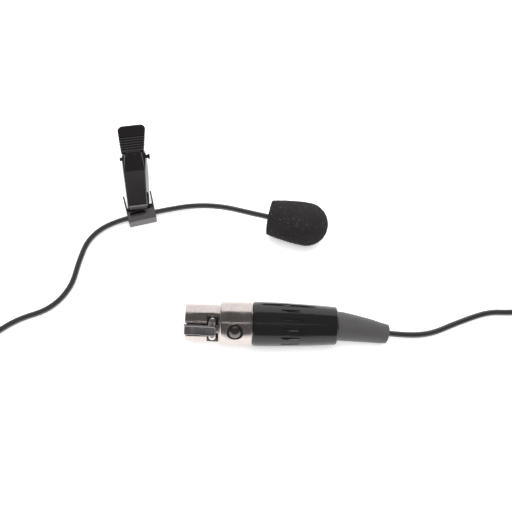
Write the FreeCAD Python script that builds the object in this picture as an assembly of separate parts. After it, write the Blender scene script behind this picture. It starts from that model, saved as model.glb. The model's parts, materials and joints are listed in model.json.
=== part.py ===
import FreeCAD, Part
import math
import os

# Lavalier microphone, in millimetres, +Z up, lying on the plane z = 0.
# The origin is on that plane, under the middle of the clip and the windscreen.
# It has three groups: the head (capsule under a foam windscreen), the spring clip with its
# swivelling cable holder, and a miniature three-pole plug. One cord joins them all.

Vector = FreeCAD.Vector

# ---- driving dimensions -------------------------------------------------------------------
CORD_D = 1.5
CORD_R = CORD_D / 2

# head: local +X runs from the foam's rear face to its nose
HEAD_REAR = Vector(13.55, -10.9, 5.8)
HEAD_HEADING = -12.5
FOAM_REAR_R = 4.3
FOAM_MAX_R = 5.8
FOAM_BELLY_X = 10.0
FOAM_BORE_R = 3.05
FOAM_BORE_DEPTH = 12.1
CAPSULE_R = 3.0
CAPSULE_WALL = 0.4
CAPSULE_REAR_X = 1.0
CAPSULE_JOINT_X = 9.5
CAPSULE_FRONT_X = 11.8
BUSH_R = 1.5
GRILLE_HOLE_R = 0.35

# clip: local +X runs from the jaw's tip to the thumb pad, z = 0 where the closed jaws meet
RIVET_AT = Vector(-22.45, -2.85, 0)
CLIP_HEADING = 98.0
CLIP_PITCH = -2.2
CLIP_TIP_Z = 1.85
RIVET_X = 3.3
CLIP_LENGTH = 24.4
LEVER_T = 0.9
PIN_X = 16.5
PIN_Z = 2.6
PIN_R = 0.5
PIN_HALF_LENGTH = 4.1
EYE_R = 0.85
PAD_SLOPE = 16.0
PAD_START = 0.25
PAD_LENGTH = 8.25
PAD_NEAR_HALF = 3.2
PAD_FAR_HALF = 3.95
PAD_CORNER_R = 1.7
PAD_RIM_R = 0.35
PAD_T = 0.9
RIB_START = 0.55
RIB_COUNT = 6
RIB_PITCH = 0.76
RIB_R = 0.31
WAIST_X = 11.5
WAIST_TOP = 4.95
# rows of x, the half widths at the top, the bevel and the foot, then the heights of the foot,
# the bevel and the top
JAW_ROWS = (
    (0, 2.3, 2.42, 2.85, 0.2, 2.4, 2.5),
    (WAIST_X, 2.6, 2.75, 3.4, 0.2, 3.1, 3.2),
)
WAIST_ROWS = (
    (WAIST_X, 2.6, 2.75, 3.4, 0.6, 3.1, 3.2),
    (16.6, 2.0, 3.4, 3.4, 1.05, 3.35, WAIST_TOP),
    (18.6, 2.0, 3.4, 3.4, 1.5, 3.6, WAIST_TOP),
)
JAW_WALL = 0.5
JAW_ROOF = 0.8
WAIST_WALL = 0.6
WAIST_ROOF = 0.85
LIP_REACH = 0.3
LIP_LOW = 0.95
LIP_TOP = 2.5
LIP_HALF = 2.35
TOOTH_START = 0.45
TOOTH_COUNT = 5
TOOTH_PITCH = 0.9
TOOTH_WIDTH = 0.6
PIN_HEAD_R = 0.75
PIN_HEAD_T = 0.5
REAR_JAW_HALF = 2.0
REAR_SHOULDER_HALF = 2.6
REAR_END_HALF = 2.7
EAR_Y = (1.35, 1.85)
SPRING_MEAN_R = 1.0
SPRING_WIRE_R = 0.2
SPRING_PITCH = 0.5
SPRING_TURNS = 4.0

# cable holder: local +X runs from its cord bar to the tips of its ears, origin on the rivet
HOLDER_HEADING = 104.5
HOLDER_BASE_T = 0.6
HOLDER_HALF_WIDTH = 3.8
HOLDER_TONGUE_X = -0.9
HOLDER_TONGUE_HALF = 2.5
HOLDER_EAR_T = 0.4
EAR_FLARE = 0.15
BAR_FRONT_X = -7.1
BAR_BACK_X = -3.75
BAR_HEIGHT = 2.7
EAR_END_X = 1.8
CORD_HOLE_X = -4.65
CORD_HOLE_Z = 1.5
CORD_HOLE_R = CORD_R + 0.05
SLOT_WIDTH = 1.5
SLOT_LENGTH = 4.3
SLOT_Y = 0.85
RIVET_R = 0.9
RIVET_HEAD_R = 1.5
RIVET_HEAD_Z = 1.86

# plug: local +X runs from the nose to the boot, the latch is on local +Z
PLUG_NOSE = Vector(-7.9, -41.88, 6.35)
PLUG_HEADING = -0.4
PLUG_PITCH = -2.6
PLUG_ROLL = 50.0
NOSE_R = 4.65
NOSE_FRONT_X = 0.5
COLLAR_R = 5.45
SHELL_BORE_R = 4.0
COLLAR_X = 9.05
COLLAR_END_X = 16.75
SPIGOT_END_X = 21.0
SPIGOT_R = 4.5
WINDOW_X = (5.9, 8.7)
WINDOW_HALF_WIDTH = 3.7
TONGUE_HALF_WIDTH = 1.6
BUTTON_X = 12.7
BUTTON_R = 1.85
BUTTON_HOLE_R = 2.0
CONTACT_CIRCLE_R = 1.65
CONTACT_R = 0.75
CONTACT_BORE_R = 0.5
CONTACT_BORE_DEPTH = 5.5
CONTACT_FRONT_X = 1.3
CONTACT_END_X = 18.5
CUP_X = 16.8
LEAF_FRONT_X = 0.28
LEAF_END_X = 8.0
LEAF_T = 0.45
LEAF_TOP = 4.6
CATCH_X = (6.5, 7.9)
CATCH_HALF = 2.7
ARM_HALF = 1.1
SLEEVE_X = 16.95
SLEEVE_END_X = 37.85
SLEEVE_MAX_R = 5.52
SLEEVE_END_R = 4.72
BOOT_FLANGE_X = 36.4
BOOT_FLANGE_R = 4.15
SLOT_COUNT = 14
BOOT_RADII = (3.62, 3.6, 3.48, 3.24, 2.9, 2.38)
BOOT_KNEE = 1.5
BOOT_END = Vector(42.75, -43.35, 2.48)

# coil of put-away cord
COIL_CENTRE = Vector(88.6, -48.35, 0)
COIL_MID_R = 8.6
COIL_HALF_WIDTH = 3.4
COIL_BOTTOM = 0.3
COIL_HEIGHT = 6.4
TIE_T = 0.3
TIE_WIDTH = 5.0

# the cord's route from the capsule through the holder, round the outside and to the coil
RUN_ROUTE = (
    (16.1, -11.46, 5.8),
    (8.8, -9.55, 5.75),
    (1.0, -6.0, 3.7),
    (-6.6, -4.55, 2.1),
    (-14.1, -5.5, 1.52),
    (-28.5, -9.23, 1.48),
    (-35.0, -13.95, 0.8),
    (-37.0, -21.45, 0.75),
    (-38.0, -29.25, 0.75),
    (-42.8, -35.75, 0.75),
    (-51.2, -38.55, 0.75),
    (-58.3, -44.45, 0.75),
    (-61.6, -55.45, 0.75),
    (-60.6, -69.25, 0.75),
    (-55.6, -82.15, 0.75),
    (-43.8, -90.45, 0.75),
    (-24.0, -92.45, 0.75),
    (4.0, -91.15, 0.75),
    (32.0, -92.25, 0.75),
    (57.8, -91.65, 0.75),
    (77.0, -85.65, 0.75),
    (90.0, -75.05, 0.75),
    (96.5, -62.25, 0.85),
    (97.3, -47.85, 1.3),
)

# the cord's route from inside the plug to the coil
TAIL_ROUTE = (
    (19.4, -42.1, 5.1),
    (32.2, -42.3, 4.45),
    (42.75, -43.35, 2.48),
    (52.4, -42.15, 0.8),
    (60.0, -38.25, 0.75),
    (70.2, -36.45, 0.75),
    (79.8, -38.05, 0.9),
    (88.6, -39.75, 1.3),
)


# ---- small tools --------------------------------------------------------------------------
def frame_at(point, heading, pitch=0.0, roll=0.0):
    """Placement of a local frame: +X turned by heading, raised by pitch, then rolled about +X."""
    turn = FreeCAD.Rotation(Vector(0, 0, 1), heading)
    tilt = FreeCAD.Rotation(Vector(0, 1, 0), -pitch)
    spin = FreeCAD.Rotation(Vector(1, 0, 0), roll)
    return FreeCAD.Placement(point, turn.multiply(tilt).multiply(spin))


def placed(shape, frame):
    return shape.transformed(frame.toMatrix())


def lathe(outline):
    """Solid of revolution about +X from its (x, radius) corners."""
    corners = [Vector(x, r, 0) for x, r in outline]
    face = Part.Face(Part.makePolygon(corners + corners[:1]))
    return face.revolve(Vector(0, 0, 0), Vector(1, 0, 0), 360)


def lathe_edges(edges):
    """Solid of revolution about +X from a closed chain of edges in the XY plane."""
    return Part.Face(Part.Wire(edges)).revolve(Vector(0, 0, 0), Vector(1, 0, 0), 360)


def rod(x0, x1, radius, y=0.0, z=0.0):
    return Part.makeCylinder(radius, x1 - x0, Vector(x0, y, z), Vector(1, 0, 0))


def block(x0, x1, half_width, z0, z1):
    return Part.makeBox(x1 - x0, 2 * half_width, z1 - z0, Vector(x0, -half_width, z0))


def cross_pin(x, z, radius, half_length):
    """Cylinder along Y, centred on y = 0."""
    return Part.makeCylinder(radius, 2 * half_length, Vector(x, -half_length, z), Vector(0, 1, 0))


def prism(profile, y0, y1):
    """Side profile of (x, z) corners, pushed from y0 to y1."""
    corners = [Vector(x, y0, z) for x, z in profile]
    return Part.Face(Part.makePolygon(corners + corners[:1])).extrude(Vector(0, y1 - y0, 0))


def union(shapes):
    return shapes[0].multiFuse(shapes[1:]).removeSplitter()


def round_about_x(tool, count, first=0.0):
    """Copies of a tool, evenly spaced about +X."""
    copies = []
    for index in range(count):
        copy = tool.copy()
        copy.rotate(Vector(0, 0, 0), Vector(1, 0, 0), first + 360.0 * index / count)
        copies.append(copy)
    return copies


def line(a, b):
    return Part.LineSegment(a, b).toShape()


def arc(a, b, c):
    return Part.Arc(a, b, c).toShape()


# ---- cord ---------------------------------------------------------------------------------
def cord_path(points):
    """Straight runs joined by tangent arcs, each as large as its two runs allow."""
    edges = []
    radii = []
    start = points[0]
    for before, corner, after in zip(points, points[1:], points[2:]):
        into = corner - before
        out = after - corner
        half_turn = into.getAngle(out) / 2
        setback = 0.45 * min(into.Length, out.Length)
        radii.append(setback / math.tan(half_turn))
        into.normalize()
        out.normalize()
        a = corner - into * setback
        b = corner + out * setback
        bisector = (out - into).normalize()
        depth = radii[-1] * (1 / math.cos(half_turn) - 1)
        edges.append(line(start, a))
        edges.append(arc(a, corner + bisector * depth, b))
        start = b
    edges.append(line(start, points[-1]))
    return Part.Wire(edges), radii


def cord_tube(name, route):
    points = [Vector(*p) for p in route]
    path, radii = cord_path(points)
    first = Part.Circle(points[0], points[1] - points[0], CORD_R).toShape()
    tube = path.makePipeShell([Part.Wire(first)], True, True)
    expected = math.pi * CORD_R ** 2 * path.Length
    print(f"{name}: length {path.Length:.1f}, volume ratio {tube.Volume / expected:.4f}")
    print("  radii " + " ".join(f"{r:.1f}" for r in radii))
    return tube


def cord_coil():
    """Outer shape of the neat round coil: a ring with rounded edges."""
    inner = COIL_MID_R - COIL_HALF_WIDTH
    outer = COIL_MID_R + COIL_HALF_WIDTH
    top = COIL_BOTTOM + COIL_HEIGHT
    section = Part.makePolygon([
        Vector(inner, 0, COIL_BOTTOM), Vector(outer, 0, COIL_BOTTOM),
        Vector(outer, 0, top), Vector(inner, 0, top), Vector(inner, 0, COIL_BOTTOM)])
    ring = Part.Face(section).revolve(Vector(0, 0, 0), Vector(0, 0, 1), 360)
    ring = ring.makeFillet(1.4, ring.Edges)
    return ring.translated(COIL_CENTRE)


def coil_tie():
    """Flat band closed round the coil's bundle, on the side away from the cord's two ends."""
    x0 = COIL_MID_R - COIL_HALF_WIDTH
    x1 = COIL_MID_R + COIL_HALF_WIDTH
    top = COIL_BOTTOM + COIL_HEIGHT
    half = TIE_WIDTH / 2
    band = Part.makeBox(x1 - x0 + 2 * TIE_T, TIE_WIDTH, top - COIL_BOTTOM + 2 * TIE_T,
                        Vector(x0 - TIE_T, -half, COIL_BOTTOM - TIE_T))
    band = band.makeFillet(1.5, [e for e in band.Edges if abs(e.tangentAt(0).y) > 0.9])
    band.rotate(Vector(0, 0, 0), Vector(0, 0, 1), -110)
    return band.translated(COIL_CENTRE).cut(cord_coil())


# ---- head ---------------------------------------------------------------------------------
def windscreen_foam():
    """Barrel that widens to a belly and ends in a half ball, with a blind bore for the capsule."""
    belly_r = (FOAM_BELLY_X ** 2 + (FOAM_MAX_R - FOAM_REAR_R) ** 2) / (2 * (FOAM_MAX_R - FOAM_REAR_R))
    mid_x = FOAM_BELLY_X / 2
    mid_r = FOAM_MAX_R - belly_r + math.sqrt(belly_r ** 2 - (FOAM_BELLY_X - mid_x) ** 2)
    nose = FOAM_MAX_R * math.sqrt(0.5)
    rear_in = Vector(0, FOAM_BORE_R, 0)
    rear_out = Vector(0, FOAM_REAR_R, 0)
    belly = Vector(FOAM_BELLY_X, FOAM_MAX_R, 0)
    tip = Vector(FOAM_BELLY_X + FOAM_MAX_R, 0, 0)
    bore_end = Vector(FOAM_BORE_DEPTH, 0, 0)
    bore_corner = Vector(FOAM_BORE_DEPTH, FOAM_BORE_R, 0)
    return lathe_edges([
        line(rear_in, rear_out),
        arc(rear_out, Vector(mid_x, mid_r, 0), belly),
        arc(belly, Vector(FOAM_BELLY_X + nose, nose, 0), tip),
        line(tip, bore_end),
        line(bore_end, bore_corner),
        line(bore_corner, rear_in)])


def capsule_housing():
    bore = CAPSULE_R - CAPSULE_WALL
    return lathe([
        (CAPSULE_REAR_X, BUSH_R), (CAPSULE_REAR_X, 2.5), (1.6, CAPSULE_R),
        (CAPSULE_JOINT_X, CAPSULE_R), (CAPSULE_JOINT_X, bore), (2.2, bore), (2.2, BUSH_R)])


def capsule_grille():
    """Front cap with a centre hole, a ring of holes and a row of side holes."""
    bore = CAPSULE_R - CAPSULE_WALL
    cap = lathe([
        (CAPSULE_JOINT_X, bore), (CAPSULE_JOINT_X, CAPSULE_R), (11.35, CAPSULE_R),
        (CAPSULE_FRONT_X, 2.55), (CAPSULE_FRONT_X, 0), (11.35, 0), (11.35, bore)])
    holes = [rod(11, 12, GRILLE_HOLE_R)]
    holes += round_about_x(rod(11, 12, GRILLE_HOLE_R, y=1.35), 6)
    side = Part.makeCylinder(0.3, 2, Vector(10.5, 0, 2), Vector(0, 0, 1))
    holes += round_about_x(side, 8)
    return cap.cut(holes)


def rear_bush():
    """Tapered strain relief with a flange inside the housing's rear wall."""
    return lathe([
        (0.1, CORD_R), (0.1, 1.1), (CAPSULE_REAR_X, BUSH_R), (2.2, BUSH_R), (2.2, 2.2),
        (2.8, 2.2), (2.8, CORD_R)])


def electret_can():
    return lathe([(6.5, 2.05), (6.5, 2.3), (9.1, 2.3), (9.1, 0.5), (8.85, 0.5), (8.85, 2.05)])


def capsule_gasket():
    return lathe([(6.7, 2.3), (6.7, 2.6), (9.0, 2.6), (9.0, 2.3)])


def capsule_leads():
    """Two insulated wires from the cord's end to the board."""
    return Part.makeCompound([rod(3.05, 6.0, 0.22, y=side * 0.36) for side in (-1, 1)])


def head_parts():
    return {
        "windscreen_foam": windscreen_foam(),
        "capsule_housing": capsule_housing(),
        "capsule_grille": capsule_grille(),
        "grille_mesh": rod(9.6, 9.75, CAPSULE_R - CAPSULE_WALL),
        "dust_felt": rod(9.1, 9.35, 2.25),
        "electret_can": electret_can(),
        "element_board": rod(6.0, 6.5, 2.25),
        "capsule_gasket": capsule_gasket(),
        "capsule_leads": capsule_leads(),
        "rear_bush": rear_bush(),
    }


# ---- clip ---------------------------------------------------------------------------------
def channel_section(x, top_half, shoulder_half, low_half, low, shoulder, top):
    """Closed six-sided wire across the lever at x: leaning sides, a bevel and a flat top."""
    corners = [
        Vector(x, -low_half, low), Vector(x, -shoulder_half, shoulder), Vector(x, -top_half, top),
        Vector(x, top_half, top), Vector(x, shoulder_half, shoulder), Vector(x, low_half, low)]
    return Part.makePolygon(corners + corners[:1])


def channel(outer_rows, wall, roof):
    """Inverted channel lofted through rows of (x, three half widths, then low, shoulder, top)."""
    outer = Part.makeLoft([channel_section(*row) for row in outer_rows], True, True)
    hollow_rows = []
    for x, top_half, shoulder_half, low_half, low, shoulder, top in outer_rows:
        halves = (top_half - wall, shoulder_half - wall, low_half - wall)
        hollow_rows.append((x, *halves, low - 0.1, shoulder - roof, top - roof))
    return outer.cut(Part.makeLoft([channel_section(*row) for row in hollow_rows], True, True))


def thumb_pad():
    """Sloping pad, wider at its far end, with rounded corners and cross ribs."""
    corners = [
        Vector(0, -PAD_NEAR_HALF, -PAD_T), Vector(PAD_LENGTH, -PAD_FAR_HALF, -PAD_T),
        Vector(PAD_LENGTH, PAD_FAR_HALF, -PAD_T), Vector(0, PAD_NEAR_HALF, -PAD_T)]
    plate = Part.Face(Part.makePolygon(corners + corners[:1])).extrude(Vector(0, 0, PAD_T))
    upright = [e for e in plate.Edges if e.Length < PAD_T * 1.01 and e.BoundBox.XMin > PAD_LENGTH / 2]
    plate = plate.makeFillet(PAD_CORNER_R, upright)
    rim = [e for e in plate.Edges if e.BoundBox.ZMin > -0.01 and e.BoundBox.XMax > 0.1]
    plate = plate.makeFillet(PAD_RIM_R, rim)
    ribs = []
    for index in range(RIB_COUNT):
        x = RIB_START + index * RIB_PITCH
        ribs.append(cross_pin(x, -0.08, RIB_R, PAD_NEAR_HALF - PAD_RIM_R))
    pad = union([plate] + ribs)
    pad.rotate(Vector(0, 0, 0), Vector(0, 1, 0), -PAD_SLOPE)
    return pad.translated(Vector(PIN_X + PAD_START, 0, WAIST_TOP))


def spring_room():
    """Space for the spring's coil and its front leg under the lever's roof and pad."""
    length = 4.5
    outer_r = SPRING_MEAN_R + SPRING_WIRE_R + 0.1
    rise = length * math.tan(math.radians(PAD_SLOPE))
    top = PIN_Z + outer_r / math.cos(math.radians(PAD_SLOPE))
    return prism([
        (PIN_X - outer_r, PIN_Z), (PIN_X - outer_r, top), (PIN_X, top),
        (PIN_X + length, top + rise), (PIN_X + length, PIN_Z)], -outer_r, outer_r)


def front_lever():
    """Jaw channel with a hooked tip, bevelled waist with the hinge cheeks, and the thumb pad."""
    jaw = channel(JAW_ROWS, JAW_WALL, JAW_ROOF)
    lip = prism([
        (0.5, LIP_TOP), (0.1 - LIP_REACH, LIP_TOP), (-LIP_REACH, LIP_TOP - 0.1),
        (-LIP_REACH, LIP_LOW), (0.5, LIP_LOW)], -LIP_HALF, LIP_HALF)
    waist = channel(WAIST_ROWS, WAIST_WALL, WAIST_ROOF)
    lever = union([jaw, lip, waist, thumb_pad()])
    lever = lever.cut([cross_pin(PIN_X, PIN_Z, PIN_R + 0.05, 5), spring_room()])
    notches = []
    for index in range(TOOTH_COUNT):
        x = TOOTH_START + index * TOOTH_PITCH
        notches.append(prism([(x, 0), (x + TOOTH_WIDTH / 2, 0.55), (x + TOOTH_WIDTH, 0)], -4, 4))
    return lever.cut(notches)


def rear_lever():
    """Flat lever with a toothed jaw, two hinge ears and a plain pad that rests on the surface."""
    jaw = block(0.2, 13.0, REAR_JAW_HALF, -LEVER_T, 0)
    handle = Part.Face(Part.makePolygon([
        Vector(12.6, -REAR_JAW_HALF, -LEVER_T), Vector(13.6, -REAR_SHOULDER_HALF, -LEVER_T),
        Vector(CLIP_LENGTH, -REAR_END_HALF, -LEVER_T), Vector(CLIP_LENGTH, REAR_END_HALF, -LEVER_T),
        Vector(13.6, REAR_SHOULDER_HALF, -LEVER_T), Vector(12.6, REAR_JAW_HALF, -LEVER_T),
        Vector(12.6, -REAR_JAW_HALF, -LEVER_T)])).extrude(Vector(0, 0, LEVER_T))
    corners = [e for e in handle.Edges if e.Length < LEVER_T * 1.01 and e.BoundBox.XMin > 20]
    handle = handle.makeFillet(1.6, corners)
    ears = []
    for side in (-1, 1):
        y0, y1 = sorted((side * EAR_Y[0], side * EAR_Y[1]))
        upright = prism([(PIN_X - 2 * EYE_R, 0), (PIN_X - EYE_R, PIN_Z), (PIN_X + EYE_R, PIN_Z),
                         (PIN_X + 2 * EYE_R, 0)], y0, y1)
        eye = Part.makeCylinder(EYE_R, y1 - y0, Vector(PIN_X, y0, PIN_Z), Vector(0, 1, 0))
        ears += [upright, eye]
    lever = union([jaw, handle] + ears)
    lever = lever.cut(cross_pin(PIN_X, PIN_Z, PIN_R, 5))
    notches = []
    for index in range(TOOTH_COUNT):
        x = TOOTH_START + TOOTH_WIDTH / 2 + index * TOOTH_PITCH
        notches.append(prism([(x - 0.15, 0.1), (x, -0.25), (x + 0.15, 0.1)], -3, 3))
    return lever.cut(notches)


def hinge_pin():
    """Plain pin with a peened head on one end."""
    shank = cross_pin(PIN_X, PIN_Z, PIN_R, PIN_HALF_LENGTH)
    head_y = -PIN_HALF_LENGTH - PIN_HEAD_T / 2
    head = Part.makeCylinder(PIN_HEAD_R, PIN_HEAD_T, Vector(PIN_X, head_y, PIN_Z), Vector(0, 1, 0))
    head = head.makeFillet(0.15, head.Edges[0])
    return union([shank, head])


def spring_leg(angle, side, length, y):
    """Straight wire leaving the coil's rim as a tangent, below the pin (side -1) or above it (+1)."""
    slope = math.radians(angle)
    start = Vector(PIN_X - side * SPRING_MEAN_R * math.sin(slope), y,
                   PIN_Z + side * SPRING_MEAN_R * math.cos(slope))
    along = Vector(math.cos(slope), 0, math.sin(slope))
    return Part.makeCylinder(SPRING_WIRE_R, length, start, along)


def clip_spring():
    """Torsion spring round the pin, with one leg on each lever."""
    height = SPRING_PITCH * SPRING_TURNS
    helix = Part.makeHelix(SPRING_PITCH, height, SPRING_MEAN_R)
    wire = Part.Wire(Part.Circle(Vector(SPRING_MEAN_R, 0, 0), Vector(0, 1, 0), SPRING_WIRE_R).toShape())
    coil = Part.Wire(helix).makePipeShell([wire], True, True)
    coil.rotate(Vector(0, 0, 0), Vector(1, 0, 0), 90)
    coil.rotate(Vector(0, 0, 0), Vector(0, 1, 0), 90)
    coil = coil.translated(Vector(PIN_X, height / 2, PIN_Z))
    legs = [spring_leg(-22, -1, 3.6, height / 2), spring_leg(17, 1, 4.0, -height / 2)]
    return coil.multiFuse(legs)


def holder_ear(side):
    """Upright wall beside the jaw, low near the bar and raised at its tip, flared outwards."""
    x0 = BAR_BACK_X - 0.2
    outer = side * HOLDER_HALF_WIDTH
    inner = side * (HOLDER_HALF_WIDTH - HOLDER_EAR_T)
    flare = side * EAR_FLARE
    plan = [Vector(x0, outer, 0), Vector(EAR_END_X, outer + flare, 0),
            Vector(EAR_END_X, inner + flare, 0), Vector(x0, inner, 0)]
    wall = Part.Face(Part.makePolygon(plan + plan[:1])).extrude(Vector(0, 0, 4))
    side_view = prism([
        (x0, 0), (HOLDER_TONGUE_X, 0), (EAR_END_X, 1.5), (EAR_END_X, 2.7), (EAR_END_X - 0.4, 3.1),
        (EAR_END_X - 1.0, 3.1), (-0.6, 1.9), (x0, 1.9)], -5, 5)
    return wall.common(side_view)


def cable_holder():
    """Bracket: base with a tongue under the jaw, two ears beside it, and a bar for the cord."""
    base = block(BAR_BACK_X - 0.2, HOLDER_TONGUE_X, HOLDER_HALF_WIDTH, 0, HOLDER_BASE_T)
    tongue = block(HOLDER_TONGUE_X - 0.2, EAR_END_X, HOLDER_TONGUE_HALF, 0, HOLDER_BASE_T)
    bar = block(BAR_FRONT_X, BAR_BACK_X, HOLDER_HALF_WIDTH, 0, BAR_HEIGHT)
    rim = [e for e in bar.Edges if e.BoundBox.XMax < BAR_FRONT_X + 0.01]
    bar = bar.makeFillet(0.45, rim)
    holder = union([base, tongue, bar, holder_ear(-1), holder_ear(1)])
    cord_hole = cross_pin(CORD_HOLE_X, CORD_HOLE_Z, CORD_HOLE_R, 5)
    slot = Part.makeBox(SLOT_WIDTH, SLOT_LENGTH, 2,
                        Vector(CORD_HOLE_X - SLOT_WIDTH / 2, SLOT_Y - SLOT_LENGTH / 2, CORD_HOLE_Z))
    slot = slot.makeFillet(0.7, [e for e in slot.Edges if abs(e.tangentAt(0).z) > 0.9])
    rivet_hole = Part.makeCylinder(RIVET_R, 2, Vector(0, 0, -0.5))
    return holder.cut([cord_hole, slot, rivet_hole])


def holder_rivet():
    shank = Part.makeCylinder(RIVET_R, RIVET_HEAD_Z - 0.05, Vector(0, 0, 0.05))
    head = Part.makeCylinder(RIVET_HEAD_R, 0.35, Vector(0, 0, RIVET_HEAD_Z))
    head = head.makeFillet(0.2, head.Edges[0])
    return union([shank, head])


def clip_frame():
    along = FreeCAD.Rotation(Vector(0, 0, 1), CLIP_HEADING).multVec(Vector(1, 0, 0))
    tip = RIVET_AT - along * RIVET_X + Vector(0, 0, CLIP_TIP_Z)
    return frame_at(tip, CLIP_HEADING, CLIP_PITCH)


def clip_parts():
    rear = rear_lever()
    frame = clip_frame()
    parts = {
        "front_lever": placed(front_lever(), frame),
        "hinge_pin": placed(hinge_pin(), frame),
        "clip_spring": placed(clip_spring(), frame),
    }
    rivet_bore = Part.makeCylinder(RIVET_R + 0.05, 6, RIVET_AT)
    parts["rear_lever"] = placed(rear, frame).cut(rivet_bore)
    holder_frame = frame_at(RIVET_AT, HOLDER_HEADING)
    parts["cable_holder"] = placed(cable_holder(), holder_frame)
    parts["holder_rivet"] = placed(holder_rivet(), holder_frame)
    return parts


# ---- plug ---------------------------------------------------------------------------------
def plug_shell():
    """Metal shell: slotted nose, latch window, collar with the button's hole, and a spigot."""
    shell = lathe([
        (NOSE_FRONT_X, SHELL_BORE_R), (NOSE_FRONT_X, 4.4), (NOSE_FRONT_X + 0.25, NOSE_R),
        (COLLAR_X, NOSE_R), (COLLAR_X, 5.2),
        (COLLAR_X + 0.3, COLLAR_R), (COLLAR_END_X, COLLAR_R), (COLLAR_END_X, SPIGOT_R),
        (SPIGOT_END_X, SPIGOT_R), (SPIGOT_END_X, SHELL_BORE_R)])
    window = block(WINDOW_X[0], WINDOW_X[1], WINDOW_HALF_WIDTH, 2.8, 7)
    slot = block(-1, WINDOW_X[0] + 0.1, TONGUE_HALF_WIDTH + 0.12, 2.5, 7)
    hole = Part.makeCylinder(BUTTON_HOLE_R, 5, Vector(BUTTON_X, 0, 2.5))
    return shell.cut([window, slot, hole])


def contact_angles():
    return (270, 30, 150)


def plug_insert():
    """Insulator with three contact channels and a trough that the latch moves in."""
    body = rod(0.9, 15.0, SHELL_BORE_R)
    trough = block(0, 15.5, 2.0, 2.6, 5)
    wide_trough = block(5.7, 9.1, 3.3, 2.5, 5)
    channels = []
    for angle in contact_angles():
        y = CONTACT_CIRCLE_R * math.cos(math.radians(angle))
        z = CONTACT_CIRCLE_R * math.sin(math.radians(angle))
        channels.append(rod(0, 15.5, CONTACT_R, y, z))
    return body.cut([trough, wide_trough] + channels)


def contact(angle):
    """Socket contact with a bore at the front and a solder cup at the rear."""
    y = CONTACT_CIRCLE_R * math.cos(math.radians(angle))
    z = CONTACT_CIRCLE_R * math.sin(math.radians(angle))
    body = rod(CONTACT_FRONT_X, CONTACT_END_X, CONTACT_R, y, z)
    bore = rod(1.0, CONTACT_FRONT_X + CONTACT_BORE_DEPTH, CONTACT_BORE_R, y, z)
    cup = rod(CUP_X, 19, CONTACT_BORE_R, y, z)
    opening = Part.makeBox(1.8, 2, 1, Vector(CUP_X, y - 1, z + 0.25))
    return body.cut([bore, cup, opening])


def latch_leaf():
    """Spring leaf: root over the nose's rim, tongue with two catches, and an arm to the button."""
    half = TONGUE_HALF_WIDTH
    root = block(LEAF_FRONT_X, 0.7, half, 3.5, LEAF_TOP - 0.05)
    tongue = block(LEAF_FRONT_X, LEAF_END_X, half, LEAF_TOP - LEAF_T, LEAF_TOP)
    corners = [e for e in tongue.Edges if e.Length < LEAF_T + 0.01 and e.BoundBox.XMin > 7.9]
    tongue = tongue.makeFillet(1.2, corners)
    catches = block(CATCH_X[0], CATCH_X[1], CATCH_HALF, 3.3, 3.75)
    catch_length = CATCH_X[1] - CATCH_X[0]
    corners = [e for e in catches.Edges if abs(e.Length - catch_length) < 0.01 and e.BoundBox.ZMin > 3.7]
    catches = catches.makeFillet(0.3, corners)
    web = block(6.7, 7.7, ARM_HALF, 3.5, 4.3)
    arm = block(7.0, BUTTON_X + 1.4, ARM_HALF, 3.35, 3.75)
    return union([root, tongue, catches, web, arm])


def latch_button():
    """Round button with a domed top."""
    stem = Part.makeCylinder(BUTTON_R, 3, Vector(BUTTON_X, 0, 3.75))
    ball = Part.makeSphere(2.7, Vector(BUTTON_X, 0, 3.4))
    return stem.common(ball)


def sleeve_outline_arc():
    return arc(Vector(SLEEVE_X + 1.7, SLEEVE_MAX_R, 0), Vector(30.9, 5.14, 0),
               Vector(SLEEVE_END_X - 0.3, SLEEVE_END_R, 0))


def plug_sleeve():
    """Handle sleeve: rounded front edge, long crowned taper, and a ring of grip slots."""
    step_x = SPIGOT_END_X + 0.2
    lip_x = SLEEVE_END_X - 0.25
    corner = [(SLEEVE_END_X, SLEEVE_END_R - 0.3), (SLEEVE_END_X, BOOT_RADII[0] + 0.05),
              (lip_x, BOOT_RADII[0] + 0.05), (lip_x, BOOT_FLANGE_R), (step_x, BOOT_FLANGE_R),
              (step_x, SPIGOT_R), (SLEEVE_X, SPIGOT_R), (SLEEVE_X, 5.1), (SLEEVE_X + 0.25, 5.38),
              (SLEEVE_X + 0.8, 5.5), (SLEEVE_X + 1.7, SLEEVE_MAX_R)]
    points = [Vector(x, r, 0) for x, r in corner]
    edges = [sleeve_outline_arc(), line(Vector(SLEEVE_END_X - 0.3, SLEEVE_END_R, 0), points[0])]
    edges += [line(a, b) for a, b in zip(points, points[1:])]
    body = lathe_edges(edges)
    slot = Part.makeBox(4.4, 0.36, 1.0, Vector(24.0, -0.18, 5.05))
    return body.cut(round_about_x(slot, SLOT_COUNT, 180.0 / SLOT_COUNT))


def plug_frame():
    return frame_at(PLUG_NOSE, PLUG_HEADING, PLUG_PITCH, PLUG_ROLL)


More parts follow.
